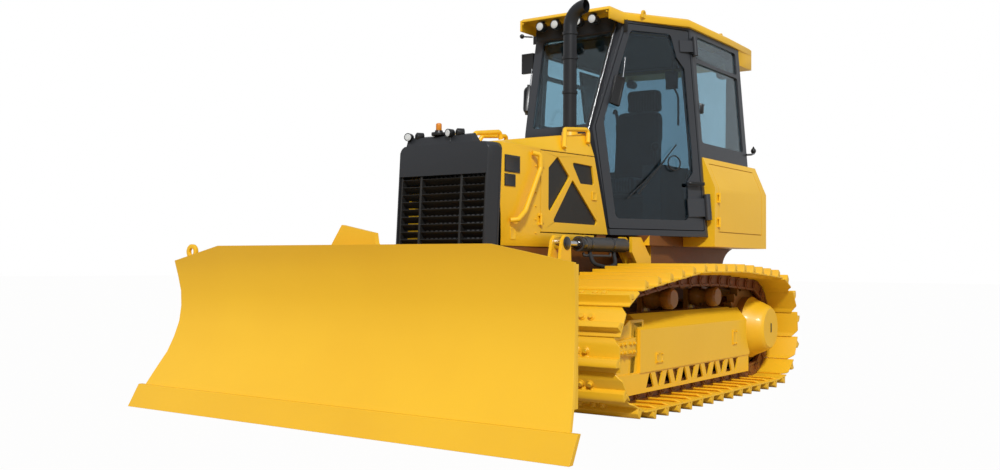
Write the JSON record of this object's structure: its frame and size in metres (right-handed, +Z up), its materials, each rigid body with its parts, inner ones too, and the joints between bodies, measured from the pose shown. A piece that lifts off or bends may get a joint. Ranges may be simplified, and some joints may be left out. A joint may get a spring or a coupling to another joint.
{
  "type": "bulldozer",
  "caption": "Crawler bulldozer with an angling blade on a push frame, enclosed cab, steel tracks and opening doors.",
  "frame": {"origin": "bottom centre of the overall box, on the ground, at rest", "axes": "+Z up; +Y towards the machine's rear, so the blade is at -Y; +X towards the machine's left"},
  "size_m": [3.285, 4.648, 2.866],
  "materials": {
    "yellow_paint": "gloss enamel",
    "dark_paint": "satin enamel",
    "mesh_black": "satin enamel on wire mesh",
    "track_steel": "paint on steel shoes",
    "wear_steel": "paint on wear steel",
    "barrel_paint": "gloss enamel",
    "chrome_rod": "hard chrome",
    "tinted_glass": "tinted safety glass",
    "lamp_lens": "lamp lens in a black case",
    "exhaust_steel": "heat-proof paint",
    "engine_iron": "cast, painted",
    "radiator_alloy": "finned core",
    "seat_cloth": "woven cover on foam",
    "cab_plastic": "grained",
    "knob_plastic": "smooth"
  },
  "bodies": {
    "root": {"main_frame": "yellow_paint", "engine": "engine_iron", "radiator": "radiator_alloy", "drawbar": "yellow_paint", "front_guard": "yellow_paint", "grille": "dark_paint", "hood": "yellow_paint", "exhaust_stack": "exhaust_steel", "grab_rails": "dark_paint", "work_lamps": "lamp_lens", "cooler_top": "yellow_paint", "cab_frame": "dark_paint", "cab_glass": "tinted_glass", "roof": "yellow_paint", "seat": "seat_cloth", "console": "cab_plastic", "control_levers": "knob_plastic", "side_boxes": "yellow_paint", "track_frames": "yellow_paint", "track_left": "track_steel", "track_right": "track_steel", "sprockets": "yellow_paint", "idlers": "yellow_paint", "rollers": "yellow_paint"},
    "push_frame": {"c_frame": "yellow_paint"},
    "centre_yoke": {"yoke": "yellow_paint"},
    "blade_body": {"blade": "yellow_paint", "cutting_edge": "wear_steel"},
    "tilt_barrel": {"tilt_barrel": "barrel_paint"},
    "tilt_rod": {"tilt_rod": "chrome_rod"},
    "lift_barrel_left": {"lift_barrel_left": "barrel_paint"},
    "lift_rod_left": {"lift_rod_left": "chrome_rod"},
    "angle_barrel_left": {"angle_barrel_left": "barrel_paint"},
    "angle_rod_left": {"angle_rod_left": "chrome_rod"},
    "cab_door_left": {"cab_door_left": "dark_paint", "door_glass_left": "tinted_glass"},
    "engine_door_left": {"engine_door_left": "yellow_paint", "door_mesh_left": "mesh_black"},
    "box_door_left": {"box_door_left": "yellow_paint"},
    "lift_barrel_right": {"lift_barrel_right": "barrel_paint"},
    "lift_rod_right": {"lift_rod_right": "chrome_rod"},
    "angle_barrel_right": {"angle_barrel_right": "barrel_paint"},
    "angle_rod_right": {"angle_rod_right": "chrome_rod"},
    "cab_door_right": {"cab_door_right": "dark_paint", "door_glass_right": "tinted_glass"},
    "engine_door_right": {"engine_door_right": "yellow_paint", "door_mesh_right": "mesh_black"},
    "box_door_right": {"box_door_right": "yellow_paint"}
  },
  "joints": [
    {"name": "blade_lift", "type": "hinge", "parent": "root", "child": "push_frame", "pos_m": [0, 0.15, 0.6], "axis": [1, 0, 0], "range_deg": [-19, 11]},
    {"name": "blade_angle", "type": "hinge", "parent": "push_frame", "child": "centre_yoke", "pos_m": [0, -1.76, 0.43], "axis": [0, 0, 1], "range_deg": [-25, 25]},
    {"name": "blade_tilt", "type": "hinge", "parent": "centre_yoke", "child": "blade_body", "pos_m": [0, -1.904, 0.43], "axis": [0, 1, 0], "range_deg": [-7, 7]},
    {"name": "lift_barrel_turn_left", "type": "hinge", "parent": "root", "child": "lift_barrel_left", "pos_m": [0.52, 0.356, 1.065], "axis": [1, 0, 0], "range_deg": [-16, 9.5]},
    {"name": "lift_rod_slide_left", "type": "slide", "parent": "lift_barrel_left", "child": "lift_rod_left", "axis": [0, -1, -0.0021], "range_m": [-0.16, 0.095]},
    {"name": "angle_barrel_turn_left", "type": "hinge", "parent": "push_frame", "child": "angle_barrel_left", "pos_m": [0.52, -1, 0.65], "axis": [0, 0, 1], "range_deg": [-8, 8]},
    {"name": "angle_rod_slide_left", "type": "slide", "parent": "angle_barrel_left", "child": "angle_rod_left", "axis": [-0.1313, -0.9913, 0], "range_m": [-0.185, 0.185]},
    {"name": "lift_barrel_turn_right", "type": "hinge", "parent": "root", "child": "lift_barrel_right", "pos_m": [-0.52, 0.356, 1.065], "axis": [1, 0, 0], "range_deg": [-16, 9.5]},
    {"name": "lift_rod_slide_right", "type": "slide", "parent": "lift_barrel_right", "child": "lift_rod_right", "axis": [0, -1, -0.0021], "range_m": [-0.16, 0.095]},
    {"name": "angle_barrel_turn_right", "type": "hinge", "parent": "push_frame", "child": "angle_barrel_right", "pos_m": [-0.52, -1, 0.65], "axis": [0, 0, 1], "range_deg": [-8, 8]},
    {"name": "angle_rod_slide_right", "type": "slide", "parent": "angle_barrel_right", "child": "angle_rod_right", "axis": [0.1313, -0.9913, 0], "range_m": [-0.185, 0.185]},
    {"name": "tilt_barrel_turn", "type": "hinge", "parent": "centre_yoke", "child": "tilt_barrel", "pos_m": [-0.15, -1.76, 0.88], "axis": [0, 1, 0], "range_deg": [-6, 6]},
    {"name": "tilt_rod_slide", "type": "slide", "parent": "tilt_barrel", "child": "tilt_rod", "axis": [1, 0, 0], "range_m": [-0.06, 0.06]},
    {"name": "cab_door_left_swing", "type": "hinge", "parent": "root", "child": "cab_door_left", "pos_m": [0.7307, 1.04516, 2.63326], "axis": [-0.0849, 0, 0.9964], "range_deg": [0, 75]},
    {"name": "cab_door_right_swing", "type": "hinge", "parent": "root", "child": "cab_door_right", "pos_m": [-0.7307, 1.04516, 2.63326], "axis": [-0.0849, 0, -0.9964], "range_deg": [0, 75]},
    {"name": "engine_door_left_swing", "type": "hinge", "parent": "root", "child": "engine_door_left", "pos_m": [0.404, -0.646, 1.4], "axis": [0, 0, -1], "range_deg": [0, 100]},
    {"name": "engine_door_right_swing", "type": "hinge", "parent": "root", "child": "engine_door_right", "pos_m": [-0.404, -0.646, 1.4], "axis": [0, 0, 1], "range_deg": [0, 100]},
    {"name": "box_door_left_swing", "type": "hinge", "parent": "root", "child": "box_door_left", "pos_m": [0.892, 1.15, 1.3], "axis": [0, 0, -1], "range_deg": [0, 100]},
    {"name": "box_door_right_swing", "type": "hinge", "parent": "root", "child": "box_door_right", "pos_m": [-0.892, 1.15, 1.3], "axis": [0, 0, 1], "range_deg": [0, 100]}
  ],
  "couplings": [
    {"joint": "lift_barrel_turn_left", "follows": "blade_lift", "ratio": 0.8139},
    {"joint": "lift_rod_slide_left", "follows": "blade_lift", "m_per_rad": 0.47708},
    {"joint": "angle_barrel_turn_left", "follows": "blade_angle", "ratio": -0.09721},
    {"joint": "angle_rod_slide_left", "follows": "blade_angle", "m_per_rad": -0.40509},
    {"joint": "lift_barrel_turn_right", "follows": "blade_lift", "ratio": 0.8139},
    {"joint": "lift_rod_slide_right", "follows": "blade_lift", "m_per_rad": 0.47708},
    {"joint": "angle_barrel_turn_right", "follows": "blade_angle", "ratio": -0.09721},
    {"joint": "angle_rod_slide_right", "follows": "blade_angle", "m_per_rad": 0.40509},
    {"joint": "tilt_barrel_turn", "follows": "blade_tilt", "ratio": 0.7595},
    {"joint": "tilt_rod_slide", "follows": "blade_tilt", "m_per_rad": 0.44968}
  ]
}
